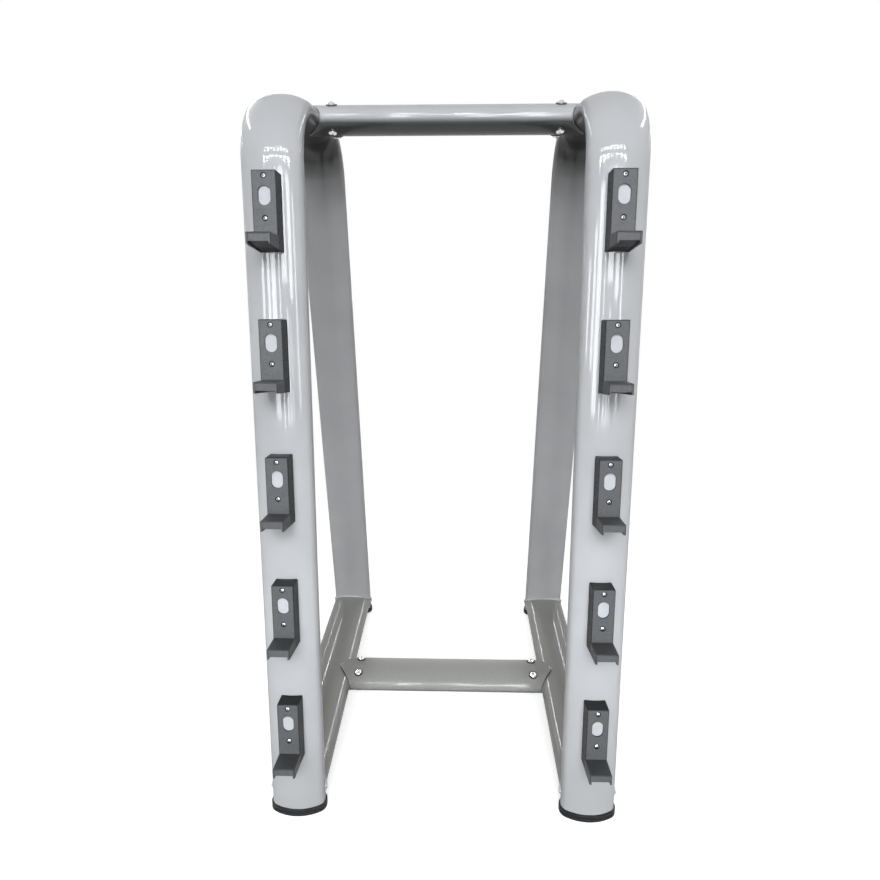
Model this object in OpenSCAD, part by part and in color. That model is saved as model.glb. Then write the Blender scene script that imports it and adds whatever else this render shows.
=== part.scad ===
// Barbell storage rack: two bent oval side arches, two base rails, two bolted cross tubes,
// and five screwed-on saddles up the front of each arch. Millimetres, +Z up, front towards -Y.
// The origin lies on the floor, under the middle of the whole rack.

/* [Side frame] */
// Overall height from the floor to the top of the arches
rack_h = 1520; // [1200:10:1700]
// Distance between the middles of the two side arches
side_gap = 656; // [500:2:900]
// Lean of each leg from the vertical, in degrees
lean = 7.1; // [4:0.1:10]
// Radius of the tube's middle line in the two bends
bend_r = 120; // [100:5:160]
// Length of the flat run between the two bends
top_run = 228; // [140:2:320]
// Gap between the foot caps and the base rails
rail_gap = 1; // [0.5:0.5:40]

/* [Oval tube] */
// Width of the arch and rail tube
tube_w = 120; // [100:1:130]
// Thickness of the arch and rail tube
tube_t = 60; // [56:1:70]
// Radius of the tube's two rounded edges
tube_r = 20; // [16:1:24]
// Wall of every oval tube
tube_wall = 3; // [2:0.5:4]

/* [Cross tubes] */
// Width of the cross tubes
cross_w = 120; // [100:1:120]
// Thickness of the cross tubes
cross_t = 60; // [50:1:60]
// Radius of the cross tubes' rounded edges
cross_r = 20; // [14:1:20]
// Length of a spigot past the side of the arch or rail
spigot_out = 45; // [40:1:80]
// Wall of a spigot
spigot_wall = 6; // [5:0.5:8]
// Clearance all round between a spigot and its cross tube
spigot_fit = 0.4; // [0.2:0.1:1]

/* [Cross tube bolts] */
// Distance of the bolts from the side of the arch or rail
bolt_in = 22; // [18:1:30]
// Distance of the bolts from the middle plane of the cross tube
bolt_side = 30; // [20:1:32]
// Diameter of the bolts' shanks
bolt_d = 10; // [8:1:12]
// Length of the bolts' shanks below the head
bolt_len = 14; // [12:1:20]
// Diameter of the bolts' heads
bolt_head_d = 17.5; // [15:0.5:20]
// Height of the bolts' heads
bolt_head_h = 5.5; // [4:0.5:7]
// Across flats of the bolts' sockets
bolt_socket = 6; // [5:1:8]
// Outer diameter of the washers
washer_d = 24; // [20:1:26]
// Thickness of the washers
washer_t = 2; // [1.5:0.5:3]

/* [Saddles] */
// Distance up the leg from the floor to the top of the lowest saddle
saddle_first = 293; // [260:1:300]
// Distance along the leg from the top of the highest saddle to the start of the bend
saddle_below_bend = 30.5; // [20:0.5:60]
// Width of a saddle
cover_w = 46; // [40:1:56]
// Height of a saddle's plate above its arm
plate_h = 115; // [100:1:125]
// Distance of the plate's face from the front of the leg
plate_out = 36; // [30:1:44]
// Reach of the arm from the plate's face
arm_reach = 50; // [40:1:70]
// Height of the arm's sides at its tip
arm_h = 21; // [18:1:26]
// Height of the cover's sides below the arm's top, next to the leg
side_drop = 28; // [24:1:34]
// Wall of the moulded cover
cover_wall = 4; // [3:0.5:5]
// Radius of the cover's outer edges
cover_edge = 2.5; // [1.5:0.5:3]
// Recess of the arm's end wall behind the tips of its sides
end_recess = 2; // [1:0.5:4]
// Height of the arm's end wall
end_wall_h = 16; // [12:1:18]
// Width of the window
window_w = 23; // [18:1:26]
// Height of the window
window_h = 35; // [30:1:40]
// Distance from the plate's top down to the window
window_down = 27; // [24:1:30]
// Distance from the plate's top down to the upper screw
screw_upper = 10; // [8:1:12]
// Distance from the plate's top down to the lower screw
screw_lower = 85; // [78:1:95]

/* [Saddle brackets] */
// Thickness of the bracket's plates
bracket_t = 4; // [3:0.5:5]
// Thickness of the bracket's arm
arm_t = 6; // [5:0.5:8]
// Gap between the bracket and the cover's inside
bracket_gap = 0.3; // [0.1:0.1:1]

/* [Saddle screws] */
// Diameter of the screws' shanks
screw_d = 5; // [4:1:6]
// Length of the screws' shanks below the head
screw_len = 12; // [10:1:16]
// Diameter of the screws' heads
screw_head_d = 9.5; // [9:0.5:11]
// Height of the screws' heads
screw_head_h = 2.8; // [2.4:0.1:3]
// Across flats of the screws' sockets
screw_socket = 3; // [3:1:4]
// Diameter of the recess round each head
screw_recess_d = 11.5; // [11.5:0.5:14]
// Depth of the recess round each head
screw_recess = 2; // [1:0.5:2.5]

/* [Foot caps] */
// Height of a foot cap
cap_h = 16; // [14:1:24]
// Thickness of the sole under the tube
cap_sole = 6; // [4:1:8]
// Thickness of the cap round the tube
cap_wall = 3.5; // [2.5:0.5:5]
// Height of the groove between the cap's two rims
cap_groove_h = 2.5; // [2:0.5:4]
// Depth of the groove between the cap's two rims
cap_groove = 1.5; // [1:0.5:2]
// Wall of the plug inside the tube
cap_plug = 4; // [3:1:6]

/* [Fits] */
// Clearance round a tube's end in its foot cap
cap_fit = 0.1; // [0.05:0.05:0.5]
// Clearance between a thread's core and its hole
thread_fit = 0.05; // [0.02:0.01:0.1]
// Gap between the ends of the cross tubes and the sides
joint_gap = 0.3; // [0.1:0.1:1]
// Extra diameter of the plain holes that bolts and screws pass through
hole_fit = 0.5; // [0.2:0.1:1]
// Height of the weld beads on the legs
weld = 5; // [3:0.5:6]

/* [Hidden] */
$fn = 96;
half_gap = side_gap / 2;
side_x = half_gap - tube_w / 2;
saddle_count = 5;
rail_z = cap_h + rail_gap + tube_t / 2;
bend_y = top_run / 2;
bend_z = rack_h - tube_t / 2 - bend_r;
upper_z = rack_h - tube_t / 2;
foot_y = bend_y + (bend_r + bend_z * sin(lean)) / cos(lean);
leg_len = (bend_z + bend_r * sin(lean)) / cos(lean);
leg_below = 60;
saddle_pitch = (leg_len - saddle_below_bend - saddle_first) / (saddle_count - 1);
rail_end_y = foot_y - rail_z * tan(lean);
cross_big = wide_r(cross_w, cross_t, cross_r);
tube_big = wide_r(tube_w, tube_t, tube_r);
// How far from a side's middle line a cross tube's inner skin meets it at the top
cross_stop = sqrt(pow(tube_big, 2) - pow(tube_big - tube_t / 2 + cross_t / 2 - tube_wall, 2));
bolt_turn = asin(bolt_side / cross_big);
bolt_x = side_x - bolt_in;
plate_y = tube_t / 2 + plate_out;
arm_tip_y = plate_y + arm_reach;
cover_h = plate_h + side_drop;
cover_bore_w = cover_w - 2 * cover_wall;
cover_back_y = tube_t / 3;
bracket_w = cover_bore_w - 2 * bracket_gap;
bracket_top = cover_wall + bracket_gap;
bracket_face_y = plate_y - bracket_top;
bracket_arm_z = plate_h + bracket_top;
bracket_tip_y = arm_tip_y - end_recess - bracket_top;
end_lip = 2.5;
front_reach = foot_y + arm_tip_y * cos(lean) - (saddle_first - plate_h - arm_h) * sin(lean);
rear_reach = foot_y + (tube_t / 2 + cap_wall) / cos(lean);
middle_y = (front_reach - rear_reach) / 2;
far = 300;

// Radius of an oval's two wide arcs, which run into its end arcs without a corner
function wide_r(w, t, r) = (w * w / 4 + t * t / 4 - w * r) / (t - 2 * r);

// Flat oval of four arcs: w wide along X, t thick along Y, with end arcs of radius r
module oval(w, t, r) {
    big = wide_r(w, t, r);
    meet = big * (w / 2 - r) / (big - r);
    intersection() {
        translate([0, big - t / 2]) circle(big, $fn = 360);
        translate([0, t / 2 - big]) circle(big, $fn = 360);
        square([2 * meet, t + 2], center = true);
    }
    for (side = [-1, 1]) translate([side * (w / 2 - r), 0]) circle(r);
}

// Outline of the arch and rail tube, grown all round
module tube_outline(grow = 0) {
    oval(tube_w + 2 * grow, tube_t + 2 * grow, tube_r + grow);
}

// Outline of the cross tubes, grown all round
module cross_outline(grow = 0) {
    oval(cross_w + 2 * grow, cross_t + 2 * grow, cross_r + grow);
}

// Sets a piece down in the rack, x from the middle, with the origin under the rack's middle
module set_down(x = 0) {
    translate([x, middle_y, 0]) children();
}

// Rectangle from one corner to the other with its four corners rounded
module soft_box(from, to, r) {
    size = to - from;
    translate(from + [r, 0]) square(size - [2 * r, 0]);
    translate(from + [0, r]) square(size - [0, 2 * r]);
    for (x = [from[0] + r, to[0] - r]) for (y = [from[1] + r, to[1] - r]) translate([x, y]) circle(r);
}

// Runs an outline along X, its first direction along Y and its second along Z
module along_x(from, to) {
    translate([from, 0, 0]) rotate([90, 0, 90]) linear_extrude(to - from) children();
}

// Runs an outline along Y, centred, its first direction along X and its second along Z
module along_y(length) {
    rotate([90, 0, 0]) linear_extrude(length, center = true) children();
}

// A box from one corner to the other
module block(from, to) {
    translate(from) cube(to - from);
}

// Everything between two heights
module slab(from, to) {
    block([-far, -2 * far, from], [far, 2 * far, to]);
}

// Places its children on a leg, with Z up the leg from the floor; side is -1 in front, 1 behind
module on_leg(side) {
    translate([0, side * foot_y, 0]) rotate([side * lean, 0, 0]) children();
}

// The lower part of a leg as a solid bar
module leg_bar(side, up_to, grow = 0) {
    on_leg(side) translate([0, 0, -leg_below]) linear_extrude(up_to + leg_below) tube_outline(grow);
}

// Half an arch as a solid bar: one leg and its bend, both placed from the middle of the bend
module half_arch(side, grow) {
    translate([0, side * bend_y, bend_z]) rotate([side * lean, 0, 0]) {
        translate([0, side * bend_r, -leg_len]) linear_extrude(leg_len) tube_outline(grow);
        rotate([90, 0, 90]) mirror([side < 0 ? 1 : 0, 0, 0])
            rotate_extrude(angle = 90 - lean, $fn = 180)
                translate([bend_r, 0]) rotate(90) tube_outline(grow);
    }
}

// A whole arch as a solid bar
module arch_bar(grow = 0) {
    for (side = [-1, 1]) half_arch(side, grow);
    translate([0, 0, upper_z]) along_y(top_run) tube_outline(grow);
}

// Side arch: one bent oval tube, cut level at both feet
module arch_tube(x) {
    color("silver") set_down(x) difference() {
        arch_bar();
        arch_bar(-tube_wall);
        block([-tube_w, -2 * foot_y, -far], [tube_w, 2 * foot_y, cap_sole]);
    }
}

// Side view of a base rail: at each end two flat cuts meet in a point on the leg's middle line,
// which is where two equal ovals meet each other
module rail_side() {
    upper = tube_t * tan((90 + lean) / 2);
    lower = tube_t * tan((90 - lean) / 2);
    polygon([[rail_end_y, rail_z], [rail_end_y - upper, rail_z + tube_t],
        [upper - rail_end_y, rail_z + tube_t], [-rail_end_y, rail_z],
        [lower - rail_end_y, rail_z - tube_t], [rail_end_y - lower, rail_z - tube_t]]);
}

// Base rail: flat-lying oval tube fitted between the two legs of an arch
module base_rail(x) {
    color("silver") set_down(x) difference() {
        intersection() {
            translate([0, 0, rail_z]) along_y(2 * foot_y) tube_outline();
            along_x(-tube_w, tube_w) rail_side();
        }
        translate([0, 0, rail_z]) along_y(2 * foot_y + 2) tube_outline(-tube_wall);
    }
}

// Weld beads where a base rail meets its two legs: what lies close outside both tubes
module rail_welds(x) {
    color("silver") set_down(x) for (side = [-1, 1]) intersection() {
        difference() {
            leg_bar(side, 2 * tube_w, weld);
            leg_bar(side, 2 * tube_w + 1);
            slab(-far, cap_h + rail_gap / 2);
        }
        difference() {
            translate([0, 0, rail_z]) along_y(2 * rail_end_y) tube_outline(weld + 1);
            translate([0, 0, rail_z]) along_y(2 * foot_y) tube_outline();
        }
    }
}

// Places its children at the four bolts of a cross tube's end, with Z out of the tube's skin
module at_bolts(x, z) {
    translate([x, 0, z]) for (under = [0, 1]) mirror([0, 0, under]) for (side = [-1, 1])
        translate([0, 0, cross_t / 2 - cross_big]) rotate([side * bolt_turn, 0, 0])
            translate([0, 0, cross_big]) children();
}

// Plan of a cross tube: each end is cut square through the wall in two straight cuts, which meet
// in a blunt point, and only the inner edges come down to the side
module cross_plan() {
    tip = half_gap - cross_stop - joint_gap;
    shoulder = side_x - joint_gap;
    wide_x = tip - (tip - shoulder) / (cross_w / 2 - tube_wall) * cross_w;
    polygon([[tip, 0], [wide_x, cross_w], [-wide_x, cross_w],
        [-tip, 0], [-wide_x, -cross_w], [wide_x, -cross_w]]);
}

// Cross tube: oval tube whose ends are cut in a blunt point to fit round the sides
module cross_tube(z) {
    color("silver") set_down() difference() {
        intersection() {
            translate([0, 0, z]) along_x(-half_gap, half_gap) cross_outline();
            translate([0, 0, z - cross_t]) linear_extrude(2 * cross_t) cross_plan();
        }
        translate([0, 0, z]) along_x(-half_gap - 1, half_gap + 1) cross_outline(-tube_wall);
        for (side = [-1, 1]) {
            translate([side * half_gap, 0, z]) along_y(far) tube_outline();
            at_bolts(side * bolt_x, z) cylinder(d = bolt_d + hole_fit, h = 20, center = true);
        }
    }
}

// Spigot: oval tube welded to the side, filling a cross tube's end; side is -1 left, 1 right
module spigot(side, z) {
    skin = -tube_wall - spigot_fit;
    color("gainsboro") set_down() difference() {
        translate([0, 0, z]) mirror([side < 0 ? 1 : 0, 0, 0])
            along_x(side_x - spigot_out, half_gap) cross_outline(skin);
        translate([0, 0, z]) along_x(-half_gap - 1, half_gap + 1) cross_outline(skin - spigot_wall);
        translate([side * half_gap, 0, z]) along_y(far) tube_outline();
        at_bolts(side * bolt_x, z) cylinder(d = bolt_d + 2 * thread_fit, h = 40, center = true);
    }
}

// Low domed head with a six-sided socket, standing on Z = 0
module socket_head(d, h, socket) {
    rim = h / 3;
    dome = (d * d / 4 + (h - rim) * (h - rim)) / (2 * (h - rim));
    difference() {
        intersection() {
            cylinder(d = d, h = h);
            translate([0, 0, h - dome]) sphere(dome);
        }
        translate([0, 0, h * 0.4]) cylinder(d = socket / cos(30), h = h, $fn = 6);
    }
}

// Four bolts of one cross tube end
module cross_bolts(side, z) {
    color("lightgray") set_down() at_bolts(side * bolt_x, z) {
        translate([0, 0, washer_t]) socket_head(bolt_head_d, bolt_head_h, bolt_socket);
        translate([0, 0, washer_t - bolt_len]) cylinder(d = bolt_d, h = bolt_len + 0.5);
    }
}

// Four washers of one cross tube end, hollowed to lie on the oval skin
module cross_washers(side, z) {
    color("dimgray") set_down() difference() {
        at_bolts(side * bolt_x, z) translate([0, 0, -washer_t]) cylinder(d = washer_d, h = 2 * washer_t);
        translate([0, 0, z]) along_x(-half_gap, half_gap) cross_outline();
        at_bolts(side * bolt_x, z) cylinder(d = bolt_d + hole_fit, h = 20, center = true);
    }
}

// Rubber foot cap: two rims with a groove between them, and a plug inside the tube
module foot_cap(x, side) {
    rim_h = (cap_h - cap_groove_h) / 2;
    color("black") set_down(x) {
        difference() {
            union() {
                intersection() {
                    leg_bar(side, tube_w, cap_wall);
                    slab(0, rim_h);
                }
                intersection() {
                    leg_bar(side, tube_w, cap_wall - cap_groove);
                    slab(rim_h, cap_h - rim_h);
                }
                intersection() {
                    leg_bar(side, tube_w, cap_wall);
                    slab(cap_h - rim_h, cap_h);
                }
            }
            intersection() {
                leg_bar(side, tube_w, cap_fit);
                slab(cap_sole, tube_w);
            }
        }
        intersection() {
            difference() {
                leg_bar(side, tube_w, -tube_wall - cap_fit);
                leg_bar(side, tube_w + 1, -tube_wall - cap_fit - cap_plug);
            }
            slab(cap_sole, cap_h);
        }
    }
}

// Places its children at a saddle of one front leg: the origin is on the leg's middle line,
// level with the top of the saddle's plate, with Z up the leg and the front towards -Y
module at_saddle(x, number) {
    set_down(x) on_leg(-1) translate([0, 0, saddle_first + (number - 1) * saddle_pitch]) children();
}

// Block with every outer edge rounded: x is its half width
module soft_block(x, from_y, to_y, from_z, to_z) {
    intersection() {
        along_x(-x, x) soft_box([from_y, from_z], [to_y, to_z], cover_edge);
        along_y(far) soft_box([-x, from_z], [x, to_z], cover_edge);
        translate([0, 0, from_z]) linear_extrude(to_z - from_z)
            soft_box([-x, from_y], [x, to_y], cover_edge);
    }
}

// Slot outline, upright, with round ends
module window_outline() {
    reach = (window_h - window_w) / 2;
    square([window_w, 2 * reach], center = true);
    for (end = [-1, 1]) translate([0, end * reach]) circle(d = window_w);
}

// Moulded cover of a saddle: a hollow plate box with an arm, open below and towards the leg
module saddle_cover(x, number) {
    low = -2 * cover_h;
    color("dimgray") at_saddle(x, number) difference() {
        union() {
            soft_block(cover_w / 2, -plate_y, cover_back_y, low, 0);
            soft_block(cover_w / 2, -arm_tip_y, cover_back_y, low, -plate_h);
        }
        along_x(-cover_w, cover_w) polygon([[-2 * arm_tip_y, -plate_h - arm_h],
            [-arm_tip_y, -plate_h - arm_h], [-tube_t / 3, -cover_h], [2 * arm_tip_y, -cover_h],
            [2 * arm_tip_y, 2 * low], [-2 * arm_tip_y, 2 * low]]);
        block([-cover_bore_w / 2, cover_wall - plate_y, 2 * low], [cover_bore_w / 2, far, -cover_wall]);
        block([-cover_bore_w / 2, end_recess + cover_wall - arm_tip_y, 2 * low],
            [cover_bore_w / 2, far, -plate_h - cover_wall]);
        block([-cover_bore_w / 2, -2 * arm_tip_y, 2 * low],
            [cover_bore_w / 2, end_recess - arm_tip_y, -plate_h - end_lip]);
        block([-cover_bore_w / 2, -2 * arm_tip_y, 2 * low],
            [cover_bore_w / 2, far, -plate_h - end_wall_h]);
        translate([0, -plate_y, -window_down - window_h / 2]) along_y(3 * cover_wall) window_outline();
        for (down = [screw_upper, screw_lower]) translate([0, -plate_y, -down]) rotate([90, 0, 0]) {
            cylinder(d = screw_recess_d, h = 2 * screw_recess, center = true);
            cylinder(d = screw_d + hole_fit, h = 4 * cover_wall, center = true);
        }
        translate([0, 0, 2 * low]) linear_extrude(-4 * low) tube_outline();
    }
}

// Steel bracket of a saddle: a channel welded to the leg, with the arm that carries the bar
module saddle_bracket(x, number) {
    w = bracket_w / 2;
    low = -bracket_arm_z - arm_t;
    color("silver") at_saddle(x, number) difference() {
        union() {
            block([-w, -bracket_face_y, low], [w, bracket_t - bracket_face_y, -bracket_top]);
            block([-w, -bracket_tip_y, low], [w, -cover_back_y, -bracket_arm_z]);
            for (side = [0, 1]) mirror([side, 0, 0])
                block([w - bracket_t, -bracket_face_y, low], [w, -cover_back_y, -bracket_top]);
        }
        for (down = [screw_upper, screw_lower]) translate([0, -bracket_face_y, -down])
            rotate([90, 0, 0]) cylinder(d = screw_d + 2 * thread_fit, h = 4 * bracket_t, center = true);
        translate([0, 0, -far]) linear_extrude(2 * far) tube_outline();
    }
}

// Two socket screws in each saddle of one side
module saddle_screws(x) {
    color("lightgray") for (number = [1:saddle_count]) at_saddle(x, number)
        for (down = [screw_upper, screw_lower]) translate([0, screw_recess - plate_y, -down])
            rotate([90, 0, 0]) {
                socket_head(screw_head_d, screw_head_h, screw_socket);
                translate([0, 0, -screw_len]) cylinder(d = screw_d, h = screw_len + 0.5);
            }
}

arch_tube(-half_gap);  // left_arch_tube
arch_tube(half_gap);  // right_arch_tube
base_rail(-half_gap);  // left_base_rail
base_rail(half_gap);  // right_base_rail
rail_welds(-half_gap);  // left_rail_welds
rail_welds(half_gap);  // right_rail_welds
cross_tube(upper_z);  // upper_cross_tube
cross_tube(rail_z);  // lower_cross_tube
spigot(-1, upper_z);  // upper_left_spigot
spigot(1, upper_z);  // upper_right_spigot
spigot(-1, rail_z);  // lower_left_spigot
spigot(1, rail_z);  // lower_right_spigot
cross_bolts(-1, upper_z);  // upper_left_bolts
cross_bolts(1, upper_z);  // upper_right_bolts
cross_bolts(-1, rail_z);  // lower_left_bolts
cross_bolts(1, rail_z);  // lower_right_bolts
cross_washers(-1, upper_z);  // upper_left_washers
cross_washers(1, upper_z);  // upper_right_washers
cross_washers(-1, rail_z);  // lower_left_washers
cross_washers(1, rail_z);  // lower_right_washers
foot_cap(-half_gap, -1);  // front_left_foot_cap
foot_cap(half_gap, -1);  // front_right_foot_cap
foot_cap(-half_gap, 1);  // rear_left_foot_cap
foot_cap(half_gap, 1);  // rear_right_foot_cap
saddle_cover(-half_gap, 1);  // left_saddle_cover_1
saddle_cover(-half_gap, 2);  // left_saddle_cover_2
saddle_cover(-half_gap, 3);  // left_saddle_cover_3
saddle_cover(-half_gap, 4);  // left_saddle_cover_4
saddle_cover(-half_gap, 5);  // left_saddle_cover_5
saddle_cover(half_gap, 1);  // right_saddle_cover_1
saddle_cover(half_gap, 2);  // right_saddle_cover_2
saddle_cover(half_gap, 3);  // right_saddle_cover_3
saddle_cover(half_gap, 4);  // right_saddle_cover_4
saddle_cover(half_gap, 5);  // right_saddle_cover_5
saddle_bracket(-half_gap, 1);  // left_saddle_bracket_1
saddle_bracket(-half_gap, 2);  // left_saddle_bracket_2
saddle_bracket(-half_gap, 3);  // left_saddle_bracket_3
saddle_bracket(-half_gap, 4);  // left_saddle_bracket_4
saddle_bracket(-half_gap, 5);  // left_saddle_bracket_5
saddle_bracket(half_gap, 1);  // right_saddle_bracket_1
saddle_bracket(half_gap, 2);  // right_saddle_bracket_2
saddle_bracket(half_gap, 3);  // right_saddle_bracket_3
saddle_bracket(half_gap, 4);  // right_saddle_bracket_4
saddle_bracket(half_gap, 5);  // right_saddle_bracket_5
saddle_screws(-half_gap);  // left_saddle_screws
saddle_screws(half_gap);  // right_saddle_screws
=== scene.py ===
import math

import bpy
import numpy as np
from mathutils import Matrix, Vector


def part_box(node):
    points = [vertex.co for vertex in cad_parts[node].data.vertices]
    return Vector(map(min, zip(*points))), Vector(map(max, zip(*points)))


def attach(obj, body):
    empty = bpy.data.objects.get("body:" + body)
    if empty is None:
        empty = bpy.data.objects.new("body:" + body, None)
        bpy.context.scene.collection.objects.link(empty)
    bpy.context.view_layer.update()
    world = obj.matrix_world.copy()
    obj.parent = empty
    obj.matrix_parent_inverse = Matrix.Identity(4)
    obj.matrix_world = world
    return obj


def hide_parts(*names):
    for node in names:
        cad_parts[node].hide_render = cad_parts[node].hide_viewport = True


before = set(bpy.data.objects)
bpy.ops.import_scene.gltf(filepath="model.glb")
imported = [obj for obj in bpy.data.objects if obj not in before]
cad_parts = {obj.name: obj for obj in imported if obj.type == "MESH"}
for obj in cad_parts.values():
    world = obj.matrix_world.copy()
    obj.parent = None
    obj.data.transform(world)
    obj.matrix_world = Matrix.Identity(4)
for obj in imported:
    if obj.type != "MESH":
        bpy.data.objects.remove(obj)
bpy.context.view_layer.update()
scene = bpy.context.scene

# Camera. It stands close in front of the rack, level with the top saddles, and looks down at it
# through a wide lens, turned a little to the left. The lens is given for an 880 pixel picture.
eye = np.array([0.02704, -1.51786, 1.24012])
turn = math.radians(-1.55)
pitch = math.radians(17.43)
roll = math.radians(0.11)
sensor = 36.0
picture_wide = 880
lens_in_pixels = 638.56


def standing(at, right, up, back):
    """The placing of an object at a point, with its X, Y and Z axes along three directions."""
    placing = np.eye(4)
    placing[:3, :3] = np.stack([right, up, back], axis=1)
    placing[:3, 3] = at
    return Matrix(placing.tolist())


ahead = np.array([math.sin(turn) * math.cos(pitch), math.cos(turn) * math.cos(pitch), -math.sin(pitch)])
level_right = np.array([math.cos(turn), -math.sin(turn), 0.0])
level_down = np.cross(ahead, level_right)
view_right = math.cos(roll) * level_right + math.sin(roll) * level_down
view_up = math.sin(roll) * level_right - math.cos(roll) * level_down
camera_data = bpy.data.cameras.new("camera")
camera_data.sensor_width = sensor
camera_data.lens = sensor * lens_in_pixels / picture_wide
camera = bpy.data.objects.new("camera", camera_data)
camera.matrix_world = standing(eye, view_right, view_up, -ahead)
scene.collection.objects.link(camera)
scene.camera = camera
scene.view_settings.view_transform = "Standard"


# Studio floor and daylight round it. The floor and the far background show plain white, and the
# floor still takes the rack's shadow. What lights the rack is brighter above than below.
floor_reach = 9.0
shadow_reach = 0.7
plain_from = 2.0
floor_glow = 0.62
light_below = 0.03
light_above = 0.12


def new_material(name):
    """A new material, and its node tree with nothing in it yet."""
    material = bpy.data.materials.new(name)
    material.use_nodes = True
    tree = material.node_tree
    tree.nodes.clear()
    return material, tree


def add_node(tree, kind, *ordered, **named):
    """A new shader node. Names with a small first letter are its settings, and are given first.

    Its inputs are given in their order, or by names with a capital, each as a plain value or as
    another node's output.
    """
    node = tree.nodes.new("ShaderNode" + kind)
    sockets = []
    for name, value in named.items():
        if name[0].islower():
            setattr(node, name, value)
        else:
            sockets.append((node.inputs[name.replace("_", " ")], value))
    sockets += zip(node.inputs, ordered)
    for socket, value in sockets:
        if hasattr(value, "is_linked"):
            tree.links.new(value, socket)
        else:
            socket.default_value = value
    return node


def ranged(tree, value, low, high, to_low, to_high, way="LINEAR"):
    """A value stretched from one range to another, and held inside it."""
    node = add_node(tree, "MapRange", interpolation_type=way, Value=value, From_Min=low, From_Max=high,
                    To_Min=to_low, To_Max=to_high)
    return node.outputs["Result"]


def mixed(tree, factor, low, high):
    """A colour between two others by a factor; each may be an output or a plain colour."""
    low, high = ((*colour, 1) if isinstance(colour, tuple) else colour for colour in (low, high))
    return add_node(tree, "Mix", data_type="RGBA", Factor=factor, A=low, B=high).outputs["Result"]


def seen_directly(tree):
    """A value that is 1 for what the camera sees, straight or in a reflection, and else 0."""
    path = add_node(tree, "LightPath")
    total = path.outputs["Is Camera Ray"]
    for ray in ("Is Glossy Ray", "Is Transmission Ray"):
        total = add_node(tree, "Math", total, path.outputs[ray], operation="MAXIMUM").outputs[0]
    return total


floor_corners = [(-floor_reach, -floor_reach, 0), (floor_reach, -floor_reach, 0),
                 (floor_reach, floor_reach, 0), (-floor_reach, floor_reach, 0)]
floor_mesh = bpy.data.meshes.new("floor")
floor_mesh.from_pydata(floor_corners, [], [(0, 1, 2, 3)])
floor = bpy.data.objects.new("floor", floor_mesh)
scene.collection.objects.link(floor)
floor_material, tree = new_material("studio_floor")
direct = seen_directly(tree)
from_middle = add_node(tree, "VectorMath", add_node(tree, "TexCoord").outputs["Object"], operation="LENGTH")
apart = ranged(tree, from_middle.outputs["Value"], shadow_reach, plain_from, 0, 1, "SMOOTHSTEP")
lit = add_node(tree, "BsdfDiffuse", Color=mixed(tree, direct, (0.05, 0.05, 0.05), (0.9, 0.9, 0.9)))
glow_share = add_node(tree, "Math", direct, floor_glow, operation="MULTIPLY")
base_glow = add_node(tree, "Emission", Strength=glow_share.outputs[0])
near = add_node(tree, "AddShader", lit.outputs[0], base_glow.outputs[0])
plain = add_node(tree, "Emission", Strength=direct)
blend = add_node(tree, "MixShader", apart, near.outputs[0], plain.outputs[0])
add_node(tree, "OutputMaterial", Surface=blend.outputs[0])
floor_mesh.materials.append(floor_material)

world = bpy.data.worlds.new("studio")
scene.world = world
world.use_nodes = True
tree = world.node_tree
tree.nodes.clear()
upward = add_node(tree, "SeparateXYZ", add_node(tree, "TexCoord").outputs["Generated"]).outputs["Z"]
strength = ranged(tree, upward, -0.2, 0.9, light_below, light_above)
room = add_node(tree, "Background", Color=(1.0, 0.97, 0.91, 1), Strength=strength)
white = add_node(tree, "Background", Color=(1, 1, 1, 1))
blend = add_node(tree, "MixShader", seen_directly(tree), room.outputs[0], white.outputs[0])
add_node(tree, "OutputWorld", Surface=blend.outputs[0])


def softbox(name, at, towards, wide, tall, power, colour, mirrored, beam=180):
    """A rectangular lamp at a point, facing another point, with a beam of so many degrees.

    Mirrored lamps show in gloss and light nothing else; the others don't show in gloss.
    """
    data = bpy.data.lights.new(name, "AREA")
    data.shape = "RECTANGLE"
    data.size = wide
    data.size_y = tall
    data.energy = power
    data.spread = math.radians(beam)
    data.color = colour
    lamp = bpy.data.objects.new(name, data)
    back = np.array(at, float) - np.array(towards, float)
    back /= np.linalg.norm(back)
    right = np.cross([0.0, 0.0, 1.0], back)
    right /= np.linalg.norm(right)
    lamp.matrix_world = standing(at, right, np.cross(back, right), back)
    lamp.visible_camera = False
    lamp.visible_glossy = mirrored
    lamp.visible_diffuse = not mirrored
    scene.collection.objects.link(lamp)


daylight = (0.955, 0.98, 1.0)
room_light = (1.0, 0.975, 0.93)
softbox("high_front", (0, -4.4, 3.7), (0, 0, 0.8), 2.6, 1.8, 182, daylight, False)
softbox("mid_front", (0, -4.4, 1.7), (0, 0, 1.0), 2.6, 1.2, 34, daylight, False)
softbox("low_left", (-0.42, -2.6, 0.55), (-0.35, 0, 0.42), 0.25, 0.4, 0.6, daylight, False, 34)
softbox("low_right", (0.42, -2.6, 0.55), (0.35, 0, 0.42), 0.25, 0.4, 0.6, daylight, False, 34)
softbox("left_wall", (-4.5, -0.4, 0.9), (0, 0, 0.8), 3.0, 1.6, 20, room_light, False)
softbox("right_wall", (4.5, -0.4, 0.9), (0, 0, 0.8), 3.0, 1.6, 20, room_light, False)
softbox("back_wall", (0, 4.8, 1.1), (0, 0, 0.8), 3.6, 1.6, 180, room_light, False)


# The window wall in front of the rack, which only gloss shows: panes of different widths from
# knee height to 3 m, a row of low panes and a row of tall narrow ones above them in a brighter sky,
# one upright strip at each side, and four strips along the ceiling.
window_y = -5.0
row_end = 2.6
pane_glow = 18.0
sky_glow = 38.0
side_glow = 0.4 * pane_glow
ceiling_glow = 1.7 * pane_glow


def shown_light(name, at, towards, wide, tall, glow):
    """A mirrored lamp that shows with a given glow. Its power is glow pi wide tall."""
    softbox(name, at, towards, wide, tall, glow * math.pi * wide * tall, daylight, True)


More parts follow.
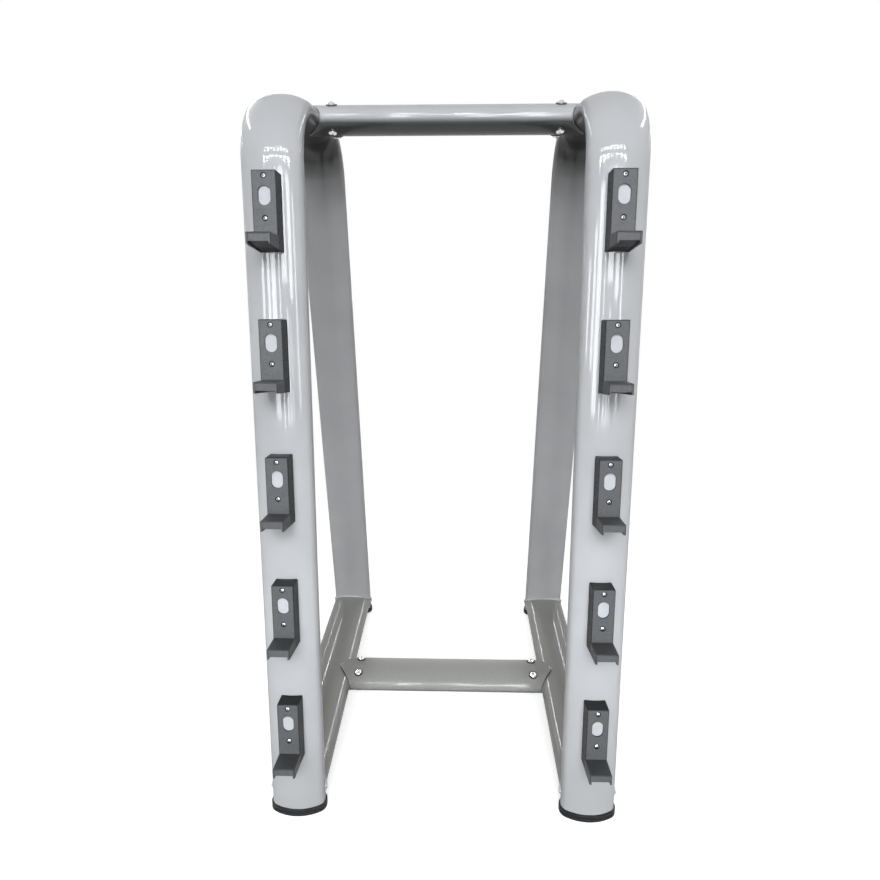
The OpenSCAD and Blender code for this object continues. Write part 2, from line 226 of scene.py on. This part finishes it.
def pane_row(first, spacing, wide, bottom, top):
    """Left, right, bottom and top of the equal panes of a row, up to row_end from the middle."""
    return [(across, across + wide, bottom, top) for across in np.arange(first, row_end, spacing)]


panes = [(-4.6, -3.9, 1.3, 2.4), (-3.0, -2.4, 1.2, 2.7), (-2.1, -1.2, 0.8, 3.0), (-0.60, -0.42, 0.7, 3.1),
         (0.0, 0.95, 2.05, 3.1), (0.10, 0.35, 0.75, 1.6), (0.60, 0.85, 0.75, 1.8), (1.15, 1.30, 0.75, 1.7),
         (1.35, 2.1, 1.9, 3.1), (2.6, 2.9, 0.8, 3.0)]
sky_panes = pane_row(-2.8, 0.8, 0.45, 3.26, 3.45) + pane_row(-2.6, 0.65, 0.26, 4.0, 4.7)
for number, (left, right, bottom, top) in enumerate(panes + sky_panes):
    at = ((left + right) / 2, window_y, (bottom + top) / 2)
    glow = pane_glow if number < len(panes) else sky_glow
    shown_light(f"pane_{number}", at, (at[0], 0, at[2]), right - left, top - bottom, glow)
for name, across in (("left_strip", -4.0), ("right_strip", 4.0)):
    shown_light(name, (across, 1.6, 1.6), (0, 0, 1.2), 0.5, 2.2, side_glow)
for number, across in enumerate((-4.2, -1.9, 1.9, 4.2)):
    below = (across * 0.98, 3.6, 0)
    shown_light(f"ceiling_strip_{number}", (across, 3.6, 3.0), below, 8.0, 0.14, ceiling_glow)


# Side arches. Each is one length of flat oval steel tube, 120 by 60 mm, bent twice round a 120 mm
# former and coated with silver powder. The tube runs down into a rubber cap at each foot.
lean = math.radians(7.1)
tube = (0.120, 0.060, 0.020)
bend_radius = 0.120
top_run = 0.228
sole = 0.006
rack_height = 1.520
sharp_edge = math.radians(40)
leg_steps = 60
bend_steps = 40
run_steps = 12


def middle_of(node):
    """The middle of a CAD node's box."""
    low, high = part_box(node)
    return (np.array(low) + np.array(high)) / 2


def wide_radius(width, thickness, edge):
    """Radius of the two wide arcs of a flat oval, (w^2/4 + t^2/4 - w e) / (t - 2 e)."""
    return (width**2 / 4 + thickness**2 / 4 - width * edge) / (thickness - 2 * edge)


def oval(width, thickness, edge, count=24):
    """Points of a flat oval of four arcs, and its outward directions, anticlockwise from the right.

    Two wide arcs of radius R run into end arcs of radius e where the line through both centres
    meets them, at the angle a = atan2(R - t/2, w/2 - e). Each arc has so many points.
    """
    wide = wide_radius(width, thickness, edge)
    meet = math.atan2(wide - thickness / 2, width / 2 - edge)
    arcs = [
        ((width / 2 - edge, 0.0), edge, -meet, meet),
        ((0.0, thickness / 2 - wide), wide, meet, math.pi - meet),
        ((edge - width / 2, 0.0), edge, math.pi - meet, math.pi + meet),
        ((0.0, wide - thickness / 2), wide, math.pi + meet, 2 * math.pi - meet),
    ]
    points = []
    facing = []
    for centre, radius, start, end in arcs:
        angle = np.linspace(start, end, count, endpoint=False)
        ray = np.stack([np.cos(angle), np.sin(angle)], axis=1)
        points.append(np.array(centre) + radius * ray)
        facing.append(ray)
    return np.concatenate(points), np.concatenate(facing)


def ring_faces(rings, around, closed=False):
    """Corner numbers of the four-sided faces between rings that have so many points each."""
    first = np.arange(rings if closed else rings - 1)[:, None] * around
    step = np.arange(around)[None, :]
    onward = (step + 1) % around
    after = (first + around) % (rings * around)
    faces = np.stack([first + step, first + onward, after + onward, after + step], axis=-1)
    return faces.reshape(-1, 4)


def end_faces(rings, around):
    """Corner numbers of the two faces that close a row of rings at its ends."""
    ring = np.arange(around)
    return [ring[::-1], (rings - 1) * around + ring]


def add_piece(name, points, faces, material, nodes, ends=()):
    """Adds a smooth mesh that stands for CAD nodes, rides on the rack and has flat end faces."""
    mesh = bpy.data.meshes.new(name)
    corners = faces.tolist() + [end.tolist() for end in ends]
    mesh.from_pydata(points.reshape(-1, 3).tolist(), [], corners)
    mesh.polygons.foreach_set("use_smooth", np.ones(len(mesh.polygons), bool))
    mesh.set_sharp_from_angle(angle=sharp_edge)
    mesh.materials.append(material)
    piece = bpy.data.objects.new(name, mesh)
    scene.collection.objects.link(piece)
    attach(piece, "root")
    if nodes:
        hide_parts(*nodes)
    return piece


def add_bar(name, shape, material, nodes):
    """Adds a row of rings as one piece, with a flat face over each end."""
    size = shape.shape[:2]
    add_piece(name, shape, ring_faces(*size), material, nodes, end_faces(*size))


def noise(tree, place, scale, detail=3.0, roughness=0.5):
    """The value of a noise texture."""
    node = add_node(tree, "TexNoise", Vector=place, Scale=scale, Detail=detail, Roughness=roughness)
    return node.outputs["Fac"]


def bumped(tree, heights):
    """A normal from several height maps, each given with its strength and its depth in metres."""
    normal = None
    for value, strength, depth in heights:
        node = add_node(tree, "Bump", Strength=strength, Distance=depth, Height=value)
        if normal is not None:
            tree.links.new(normal, node.inputs["Normal"])
        normal = node.outputs["Normal"]
    return normal


def object_place(tree, stretch=(1, 1, 1)):
    """Object coordinates, stretched along each direction."""
    place = add_node(tree, "TexCoord").outputs["Object"]
    return add_node(tree, "Mapping", Vector=place, Scale=stretch).outputs["Vector"]


def turned_along(tree, axis):
    """How far the surface faces along X, Y or Z, from -1 to 1."""
    return add_node(tree, "SeparateXYZ", add_node(tree, "TexCoord").outputs["Normal"]).outputs[axis]


def surface(tree, **sockets):
    """Joins a shader, with its inputs set to plain values or outputs, to the material's output."""
    shader = add_node(tree, "BsdfPrincipled", **sockets)
    add_node(tree, "OutputMaterial", Surface=shader.outputs["BSDF"])


# Silver powder coat: fine flakes in a clear layer with a slight orange peel, a little cloudy over
# a hand's width. Faces that look down are painted dark, as painted shade. The pieces that lie at
# the floor take a darker, warmer copy of it in patches, also as painted shade.
ground_shade_tone = (0.245, 0.240, 0.200)
painted_underside_shade_tone = (0.075, 0.076, 0.076)


def silver_coat(name, ground_shade_share):
    """The frame's coat: silver, with so large a share of painted warm grey shade in its patches."""
    material, tree = new_material(name)
    place = object_place(tree)
    flake = noise(tree, place, 2600.0, 2.0)
    peel = noise(tree, place, 420.0, 2.0)
    cloud = noise(tree, place, 7.0)
    scuff_and_shade_patches = noise(tree, object_place(tree, (60, 60, 9)), 3.0, 4.0, 0.65)
    painted_underside_shade = ranged(tree, turned_along(tree, "Z"), -0.62, -0.17, 0.9, 0)
    tone = mixed(tree, ranged(tree, cloud, 0.3, 0.7, 0, 1), (0.55, 0.555, 0.575), (0.61, 0.615, 0.63))
    tone = mixed(tree, ranged(tree, flake, 0.55, 0.75, 0, 0.35), tone, (0.80, 0.81, 0.84))
    # Painted shade: a darker, warmer tone in patches, by the share given for the pieces at the floor.
    tone = mixed(tree, ranged(tree, scuff_and_shade_patches, 0.3, 0.7, 0.8 * ground_shade_share, ground_shade_share), tone, ground_shade_tone)
    # Painted shade: faces that look down are darkened towards a near black grey.
    tone = mixed(tree, painted_underside_shade, tone, painted_underside_shade_tone)
    surface(tree, Base_Color=tone, Roughness=ranged(tree, scuff_and_shade_patches, 0.35, 0.75, 0.30, 0.44),
            Coat_Weight=0.16, Coat_IOR=2.2, Coat_Roughness=0.06, Specular_IOR_Level=0.04,
            Normal=bumped(tree, [(flake, 0.15, 0.00005), (peel, 0.25, 0.0001)]))
    return material


silver = silver_coat("silver_coat", 0.0)
# A darker, warmer copy for the pieces that lie at the floor, as painted shade.
ground_shaded_silver = silver_coat("ground_shaded_silver_coat", 0.6)


def arch_stations(middle_y):
    """Stations of the arch's middle line, as centres and outward directions across the tube.

    Up the front leg, round a bend of 90 degrees less the lean, along the flat run, and down again.
    The rear half is the front half turned round the middle.
    """
    bend_z = rack_height - tube[1] / 2 - bend_radius
    bend_y = top_run / 2
    length = (bend_z + bend_radius * math.sin(lean)) / math.cos(lean)
    out_dir = np.array([-math.cos(lean), math.sin(lean)])
    up_dir = np.array([math.sin(lean), math.cos(lean)])
    start = np.array([-bend_y, bend_z]) + bend_radius * out_dir - length * up_dir
    leg = np.linspace(0.0, 1.0, leg_steps, endpoint=False)[:, None]
    bend = np.linspace(math.pi - lean, math.pi / 2, bend_steps, endpoint=False)
    ray = np.stack([np.cos(bend), np.sin(bend)], axis=1)
    run = np.linspace(-bend_y, 0.0, run_steps)
    centres = np.concatenate([start + leg * length * up_dir,
                              np.array([-bend_y, bend_z]) + bend_radius * ray,
                              np.stack([run, np.full(run_steps, bend_z + bend_radius)], axis=1)])
    outs = np.concatenate([np.repeat(out_dir[None], leg_steps, 0), ray,
                           np.repeat([[0.0, 1.0]], run_steps, 0)])
    other = np.array([-1.0, 1.0])
    centres = np.concatenate([centres, centres[-2::-1] * other])
    outs = np.concatenate([outs, outs[-2::-1] * other])
    centres[:, 0] += middle_y
    return centres, outs


for side in ("left", "right"):
    middle = middle_of(side + "_arch_tube")
    points = oval(*tube)[0][::-1]
    centres, outs = arch_stations(middle[1])
    shape = np.zeros((len(centres), len(points), 3))
    shape[:, :, 0] = middle[0] + points[None, :, 0]
    shape[:, :, 1:] = centres[:, None, :] + points[None, :, 1, None] * outs[:, None, :]
    for end, forward in ((0, 1.0), (-1, -1.0)):
        shape[end, :, 1] += (sole - shape[end, :, 2]) * forward * math.tan(lean)
        shape[end, :, 2] = sole
    add_bar(side + "_arch", shape, silver, [side + "_arch_tube"])


# Base rails. Each is a straight length of the same tube, lying between the two feet of an arch,
# with both ends cut to the legs' round faces. Its middle lies 47 mm above the floor.
rail_height = 0.047
rail_steps = 41
bend_start = rack_height - tube[1] / 2 - bend_radius
foot_out = top_run / 2 + (bend_radius + bend_start * math.sin(lean)) / math.cos(lean)


def rail_end(height):
    """How far from the middle the rail ends, at a height above its own middle line.

    Two equal ovals meet in the planes that halve the angles between them, so the end is at
    foot - h tan((90 + lean)/2) above the middle line and foot + h tan((90 - lean)/2) below it.
    """
    above = math.tan((math.pi / 2 + lean) / 2)
    below = math.tan((math.pi / 2 - lean) / 2)
    middle = foot_out - rail_height * math.tan(lean)
    return middle - np.where(height > 0, height * above, -height * below)


for side in ("left", "right"):
    middle = middle_of(side + "_base_rail")
    points = oval(*tube)[0]
    share = np.linspace(-1.0, 1.0, rail_steps)[:, None]
    shape = np.zeros((rail_steps, len(points), 3))
    shape[:, :, 0] = middle[0] + points[:, 0]
    shape[:, :, 1] = middle[1] - share * rail_end(points[:, 1])
    shape[:, :, 2] = rail_height + points[:, 1]
    add_bar(side + "_rail", shape, ground_shaded_silver, [side + "_base_rail"])


# Weld beads at both ends of each base rail. Each runs once round the joint between rail and leg,
# laid in short overlapping puddles and coated with the rest of the frame.
bead = 0.0042
bead_sides = 16
bead_arc_points = 110
puddle = 0.0045
ripple = 0.14
ripple_lag = 1.4
cap_height = 0.016
over_cap = 0.0006


def weld_bead(end, middle):
    """Points of a bead round one rail end, as rings of a tube along the joint line.

    The joint line is the rail's outline pushed out to rail_end. The bead's rings lie across it,
    in the plane of the two tubes' outward directions, and their radius rises and falls by
    r (1 + ripple cos(2 pi s / puddle + lag cos a)) with the length s along the joint and the angle a.
    """
    points, facing = oval(*tube, count=bead_arc_points)
    line = np.zeros((len(points), 3))
    line[:, 0] = middle[0] + points[:, 0]
    line[:, 1] = middle[1] + end * rail_end(points[:, 1])
    line[:, 2] = rail_height + points[:, 1]
    of_rail = np.stack([facing[:, 0], np.zeros(len(points)), facing[:, 1]], axis=1)
    inward = np.array([0.0, -end * math.cos(lean), -math.sin(lean)])
    of_leg = facing[:, :1] * np.array([[1.0, 0, 0]]) + np.abs(facing[:, 1:]) * inward
    out = of_rail + of_leg
    out /= np.linalg.norm(out, axis=1)[:, None]
    travel = np.roll(line, -1, axis=0) - np.roll(line, 1, axis=0)
    travel /= np.linalg.norm(travel, axis=1)[:, None]
    across = np.cross(travel, out)
    across /= np.linalg.norm(across, axis=1)[:, None]
    out = np.cross(across, travel)
    run = np.concatenate([[0.0], np.cumsum(np.linalg.norm(np.diff(line, axis=0), axis=1))])
    angle = np.linspace(0.0, 2 * math.pi, bead_sides, endpoint=False)[None, :, None]
    wave = 2 * math.pi * run[:, None, None] / puddle + ripple_lag * np.cos(angle)
    radius = bead * (1 + ripple * np.cos(wave))
    ring = line[:, None] + radius * (np.cos(angle) * out[:, None] + np.sin(angle) * across[:, None])
    ring[:, :, 2] = np.maximum(ring[:, :, 2], cap_height + over_cap)
    return ring


for side in ("left", "right"):
    middle = middle_of(side + "_base_rail")
    beads = np.stack([weld_bead(end, middle) for end in (-1, 1)])
    one_bead = ring_faces(beads.shape[1], bead_sides, closed=True)
    faces = np.concatenate([one_bead, one_bead + beads.shape[1] * bead_sides])
    add_piece(side + "_welds", beads, faces, silver, [side + "_rail_welds"])


# Cross tubes. A length of the same oval tube ties the arches together at the top and the rails
# near the floor. Each end is cut square through the wall in a blunt point that fits round the
# side, and comes down on it with its inner edge, so that a narrow groove runs round the joint,
# darkened by the spigots' painted shade.
wall = 0.003
joint_gap = 0.0003
rim_round = 0.0006
rim_steps = 4
cross_steps = 41
cross_arc_points = 32
inner_shares = (1.0, 0.9, 0.0, -0.9, -1.0)
half_gap = middle_of("right_arch_tube")[0]


def cross_reach(across):
    """How far from the rack's middle a cross tube reaches, at a distance across it from its middle.

    Its inner skin meets the side sqrt(R^2 - (R - wall)^2) from the side's middle line, R being the
    tube's wide radius. From there the end runs straight to the side's edge, less a small gap.
    """
    wide = wide_radius(*tube)
    half_width = tube[0] / 2
    tip = half_gap - math.sqrt(wide**2 - (wide - wall) ** 2) - joint_gap
    shoulder = half_gap - half_width - joint_gap
    return tip - (tip - shoulder) * np.abs(across) / (half_width - wall)


def cross_rings():
    """Rings of a cross tube's skin: share of its reach, depth under the outer skin, and shortening.

    They run along the outside, round the right rim, back along the inside, and round the left rim.
    Both rims are quarter circles of radius rim_round, r (1 - cos a) deep and r (1 - sin a) short.
    """
    angle = np.linspace(0.0, math.pi / 2, rim_steps)
    deep = rim_round * (1 - np.cos(angle))
    short = rim_round * (1 - np.sin(angle))
    rim = np.stack([np.ones(rim_steps), deep, short], axis=1)
    outside = np.zeros((cross_steps - 2, 3))
    outside[:, 0] = np.linspace(-1.0, 1.0, cross_steps)[1:-1]
    outside[:, 2] = rim_round
    inside = np.zeros((len(inner_shares), 3))
    inside[:, 0] = inner_shares
    inside[:, 1] = wall
    return np.concatenate([rim[::-1] * [-1, 1, 1], outside, rim, inside])


for name, coat in (("upper", silver), ("lower", ground_shaded_silver)):
    middle = middle_of(name + "_cross_tube")
    points, facing = oval(*tube, count=cross_arc_points)
    share, sunk, short = cross_rings().T[:, :, None]
    skin = points - sunk[..., None] * facing
    shape = np.stack([share * (cross_reach(skin[..., 0]) - short), middle[1] + skin[..., 0],
                      middle[2] + skin[..., 1]], axis=-1)
    faces = ring_faces(*shape.shape[:2], closed=True)
    add_piece(name + "_tube", shape, faces, coat, [name + "_cross_tube"])


# Spigots inside the cross tubes' ends, welded to the arches and rails. They are coloured near black,
# as painted shade in the groove of the joint, where only a sliver of each shows.
joints = ("upper_left", "upper_right", "lower_left", "lower_right")


def grained_coat(name, scale, dark, light, metallic, roughness):
    """An even coat of two close tones, with a fine grain of so many waves to the metre."""
    material, tree = new_material(name)
    grain = noise(tree, object_place(tree), scale)
    tone = mixed(tree, ranged(tree, grain, 0.35, 0.7, 0, 1), dark, light)
    surface(tree, Base_Color=tone, Metallic=metallic, Roughness=roughness,
            Normal=bumped(tree, [(grain, 0.2, 0.00005)]))
    return material


def paint(node, material):
    """Gives a CAD node its material."""
    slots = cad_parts[node].data.materials
    slots.clear()
    slots.append(material)


groove_shade_coat = grained_coat("painted_groove_shade", 600.0, (0.020, 0.020, 0.021), (0.045, 0.045, 0.046), 0.0, 0.7)
# Painted shade: the spigots' near black colour stands for the shadow in the joint's groove.
for joint in joints:
    paint(joint + "_spigot", groove_shade_coat)


# Bolts: zinc plated steel with low round heads and a socket for a hexagon key, screwed through the
# cross tubes into the spigots. The screws' sockets are painted near black, as painted shade.
zinc, tree = new_material("bright_zinc")
place = object_place(tree)
grain = noise(tree, place, 900.0)
patch = noise(tree, place, 90.0, 2.0)
painted_socket_shade = add_node(tree, "Attribute", attribute_name="painted_socket_shade").outputs["Fac"]
tone = mixed(tree, ranged(tree, patch, 0.35, 0.65, 0, 1), (0.58, 0.58, 0.60), (0.70, 0.70, 0.70))
# Painted shade: where the piece's attribute is set, the zinc turns near black.
tone = mixed(tree, painted_socket_shade, tone, (0.02, 0.02, 0.02))
surface(tree, Base_Color=tone, Metallic=1.0, Roughness=ranged(tree, grain, 0.3, 0.7, 0.16, 0.30),
        Normal=bumped(tree, [(grain, 0.12, 0.00004)]))
for joint in joints:
    paint(joint + "_bolts", zinc)


# Saddle screws: zinc plated steel as the bolts are, two through each cover into its bracket. The
# small round heads sit in recesses, with a ring of room for the driver's sleeve round each, whose floor the
# covers' material paints dark as painted shade.
head_radius = 0.0037
head_height = 0.0026
head_round = 0.0002
dome_drop = 0.55
dome_shares = (1.0, 0.93, 0.8, 0.65, 0.55)
seat_below_top = 0.0028
shank_radius = 0.0025
shank_length = 0.012
tip_length = 0.0005
socket_width = 0.0030
socket_depth = 0.0018
socket_round = 0.0001
socket_share = 0.45
screws_apart = 0.01
up_leg = np.array([0.0, math.sin(lean), math.cos(lean)])
out_leg = np.array([0.0, -math.cos(lean), math.sin(lean)])


def dome_height(share):
    """Height of the head at a share u of its radius, h (1 - dome_drop u^2)."""
    return head_height * (1 - dome_drop * share**2)


def screw_shape(segments=48):
    """A screw standing on its head's seat, as rings round Z from the shank's tip to the socket's floor.

    Each ring is a radius and a height. The socket is six-sided: its radius is (s/2) / cos(a), a up
    to 30 degrees to either side of the nearest flat's middle.
    """
    turn = np.arange(segments) * 2 * math.pi / segments
    sixfold = socket_width / 2 / np.cos((turn + math.pi / 6) % (math.pi / 3) - math.pi / 6)
    edge = dome_height(socket_share)
    rings = [(shank_radius * 0.8, -shank_length), (shank_radius, tip_length - shank_length),
             (shank_radius, 0.0), (head_radius * 0.97, 0.0), (head_radius, head_round)]
    rings += [(head_radius * share, dome_height(share)) for share in dome_shares]
    rings += [(sixfold * 1.04, edge), (sixfold, edge - socket_round), (sixfold, head_height - socket_depth)]
    radii = np.stack([np.broadcast_to(radius, segments) for radius, height in rings])
    heights = np.stack([np.full(segments, height) for radius, height in rings])
    return np.stack([radii * np.cos(turn), radii * np.sin(turn), heights], axis=-1)


def screw_seats(node):
    """Middles of the seats under the heads of a node's screws, which lie apart along the leg."""
    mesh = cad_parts[node].data
    points = np.zeros(len(mesh.vertices) * 3)
    mesh.vertices.foreach_get("co", points)
    points = points.reshape(-1, 3)
    points = points[np.argsort(points @ up_leg)]
    breaks = np.flatnonzero(np.diff(points @ up_leg) > screws_apart) + 1
    seats = []
    for one in np.split(points, breaks):
        along = one @ up_leg
        outward = (one @ out_leg).max() - seat_below_top
        across = (one[:, 0].min() + one[:, 0].max()) / 2
        seats.append(np.array([across, 0, 0]) + up_leg * (along.min() + along.max()) / 2 + out_leg * outward)
    return np.array(seats)


one_screw = screw_shape() @ np.stack([[1.0, 0, 0], up_leg, out_leg])
ring_count, around = one_screw.shape[:2]
for side in ("left", "right"):
    seats = screw_seats(side + "_saddle_screws")
    first = np.arange(len(seats)) * ring_count * around
    faces = np.concatenate([ring_faces(ring_count, around) + corner for corner in first])
    ends = [end + corner for corner in first for end in end_faces(ring_count, around)]
    screws = add_piece(side + "_screws", seats[:, None, None] + one_screw, faces, zinc,
                       [side + "_saddle_screws"], ends)
    # Painted shade: the two rings of each socket's floor are painted near black.
    socket_shade_share = np.zeros((len(seats), ring_count, around))
    socket_shade_share[:, -2:] = 1.0
    socket_shade_layer = screws.data.attributes.new("painted_socket_shade", "FLOAT", "POINT")
    socket_shade_layer.data.foreach_set("value", socket_shade_share.ravel())


# Washers under the bolts' heads: blackened steel, pressed to the curve of the cross tubes, each
# held down by its bolt.
blackened = grained_coat("blackened_steel", 700.0, (0.030, 0.030, 0.032), (0.070, 0.068, 0.066), 0.5, 0.42)
for joint in joints:
    paint(joint + "_washers", blackened)


# Foot caps: black rubber cups pushed over the ends of the legs, with two rounded rims and a
# groove between them. The legs' ends stand on the caps' soles.
rubber, tree = new_material("foot_rubber")
place = object_place(tree)
grain = noise(tree, place, 1100.0, 4.0)
dust = noise(tree, place, 35.0, 4.0)
tone = mixed(tree, ranged(tree, dust, 0.45, 0.75, 0, 1), (0.009, 0.009, 0.010), (0.026, 0.0255, 0.0245))
surface(tree, Base_Color=tone, Roughness=ranged(tree, grain, 0.3, 0.7, 0.34, 0.5), Specular_IOR_Level=0.2,
        Normal=bumped(tree, [(grain, 0.3, 0.00008)]))
cap_wall = 0.0035
cap_round = 0.0015
corner_steps = 6
groove_depth = 0.0015
groove_height = 0.0025
lip_gap = 0.0001
least_oval = (0.02, 0.001, 0.0002)
cap_arc_points = 40


def cap_profile():
    """Height and growth of the cap's skin, from the middle of its sole up to the leg.

    Two rims with corners rounded by quarter circles, and a flat groove between them.
    """
    rim = (cap_height - groove_height) / 2
    groove = cap_wall - groove_depth
    quarter = np.linspace(0.0, math.pi / 2, corner_steps)
    rise = cap_round * np.sin(quarter)
    fall = cap_round * np.cos(quarter)
    down_turn = np.stack([cap_round - fall, cap_wall - cap_round + rise], axis=1)
    up_turn = np.stack([rise - cap_round, cap_wall - cap_round + fall], axis=1)
    return np.concatenate([
        [[0.0, -0.030], [0.0, -0.010]],
        down_turn,
        up_turn + [rim, 0.0],
        [[rim, groove], [rim + groove_height, groove]],
        down_turn + [rim + groove_height, 0.0],
        up_turn + [cap_height, 0.0],
        [[cap_height, lip_gap]],
    ])


def cap_ring(growth):
    """The leg's oval grown all round by so much, or shrunk to a small oval inside the sole."""
    grown = (tube[0] + 2 * growth, tube[1] + 2 * growth, tube[2] + growth)
    return oval(*(max(size, least) for size, least in zip(grown, least_oval)), count=cap_arc_points)[0]


height = cap_profile()[:, 0, None]
rings = np.stack([cap_ring(growth) for growth in cap_profile()[:, 1]])
for front, end in (("front", -1), ("rear", 1)):
    for side in ("left", "right"):
        node = f"{front}_{side}_foot_cap"
        foot_y = middle_of(side + "_arch_tube")[1] + end * (foot_out - height * math.tan(lean))
        shape = np.zeros((*rings.shape[:2], 3))
        shape[..., 0] = middle_of(node)[0] + rings[..., 0]
        shape[..., 1] = foot_y + rings[..., 1] / math.cos(lean)
        shape[..., 2] = height
        add_bar(f"{front}_{side}_cap", shape, rubber, [node])


# Saddle covers: hard plastic mouldings, near black with a fine leathery grain, screwed to steel
# brackets. The faces towards the front are painted paler, as a painted sheen, and the screws' recesses are
# painted dark, as painted shade.
saddles_per_side = 5
saddles = [(side, number) for side in ("left", "right") for number in range(1, saddles_per_side + 1)]
recess_floor = 0.065
recess_blur = 0.0005
plastic, tree = new_material("cover_plastic")
place = object_place(tree)
grain = noise(tree, place, 1500.0)
fleck = ranged(tree, noise(tree, place, 260.0, 4.0, 0.6), 0.3, 0.7, 0, 1)
rub = noise(tree, object_place(tree, (14, 60, 60)), 3.0, 4.0, 0.6)
floor_out = (foot_out - middle_of("left_arch_tube")[1]) * math.cos(lean) + recess_floor
outward = add_node(tree, "VectorMath", place, out_leg, operation="DOT_PRODUCT").outputs["Value"]
# Painted shade: the floors of the screws' recesses are painted near black.
painted_recess_shade = ranged(tree, outward, floor_out - recess_blur, floor_out + recess_blur, 1, 0)
plain_tone = mixed(tree, fleck, (0.055, 0.058, 0.061), (0.075, 0.078, 0.081))
painted_front_sheen_tone = mixed(tree, fleck, (0.112, 0.116, 0.122), (0.150, 0.154, 0.160))
# Painted sheen: faces that look to the front take the paler tone.
tone = mixed(tree, ranged(tree, turned_along(tree, "Y"), -0.985, -0.93, 1, 0), plain_tone, painted_front_sheen_tone)
tone = mixed(tree, painted_recess_shade, tone, (0.012, 0.012, 0.013))
surface(tree, Base_Color=tone, Roughness=ranged(tree, rub, 0.35, 0.7, 0.38, 0.55), Specular_IOR_Level=0.15,
        Normal=bumped(tree, [(grain, 0.25, 0.00008)]))
for side, number in saddles:
    paint(f"{side}_saddle_cover_{number}", plastic)


# Cover floors: the thin wall that closes each cover's arm from below, moulded in one with it. It
# slopes from the foot of the arm's end panel down to the cheeks' lowest corners at the leg.
floor_wide = 0.0379
floor_thick = 0.0025
floor_steps = 12
from_top = 0.010
seat_out = 0.064
panel_out = 0.110
panel_foot = 0.131
leg_side_out = 0.029
cheek_foot = 0.142


def cover_floor(seat):
    """A sloping plate under a screw's seat, as rings of four corners from the leg to the end panel.

    At the share s of its length its underside is (1 - s) leg_side_out + s panel_out away from the
    leg's middle line, and (1 - s) cheek_foot + s panel_foot below the saddle's top.
    """
    share = np.linspace(0.0, 1.0, floor_steps)[:, None]
    outward = leg_side_out + share * (panel_out - leg_side_out)
    down = cheek_foot + share * (panel_foot - cheek_foot)
    lift = np.array([[0.0, 0.0, 1.0, 1.0]]) * floor_thick
    top = seat + from_top * up_leg - seat_out * out_leg
    shape = top + outward[..., None] * out_leg + (lift - down)[..., None] * up_leg
    shape[..., 0] = seat[0] + np.array([[-0.5, 0.5, 0.5, -0.5]]) * floor_wide
    return shape


for side in ("left", "right"):
    for number, seat in enumerate(screw_seats(side + "_saddle_screws")[1::2], 1):
        add_bar(f"{side}_cover_floor_{number}", cover_floor(seat), plastic, [])


# Saddle brackets: bent steel plate welded to the front legs. A covered bracket shows only through
# the cover's window and from below, and has a lighter, flatter coat than the tubes.
pale, tree = new_material("bracket_coat")
place = object_place(tree)
flake = noise(tree, place, 2200.0, 2.0)
cloud = noise(tree, place, 60.0)
tone = mixed(tree, ranged(tree, cloud, 0.3, 0.7, 0, 1), (0.62, 0.63, 0.67), (0.69, 0.70, 0.73))
surface(tree, Base_Color=tone, Roughness=ranged(tree, flake, 0.3, 0.7, 0.35, 0.5), Specular_IOR_Level=0.2,
        Normal=bumped(tree, [(flake, 0.15, 0.00005)]))
for side, number in saddles:
    paint(f"{side}_saddle_bracket_{number}", pale)
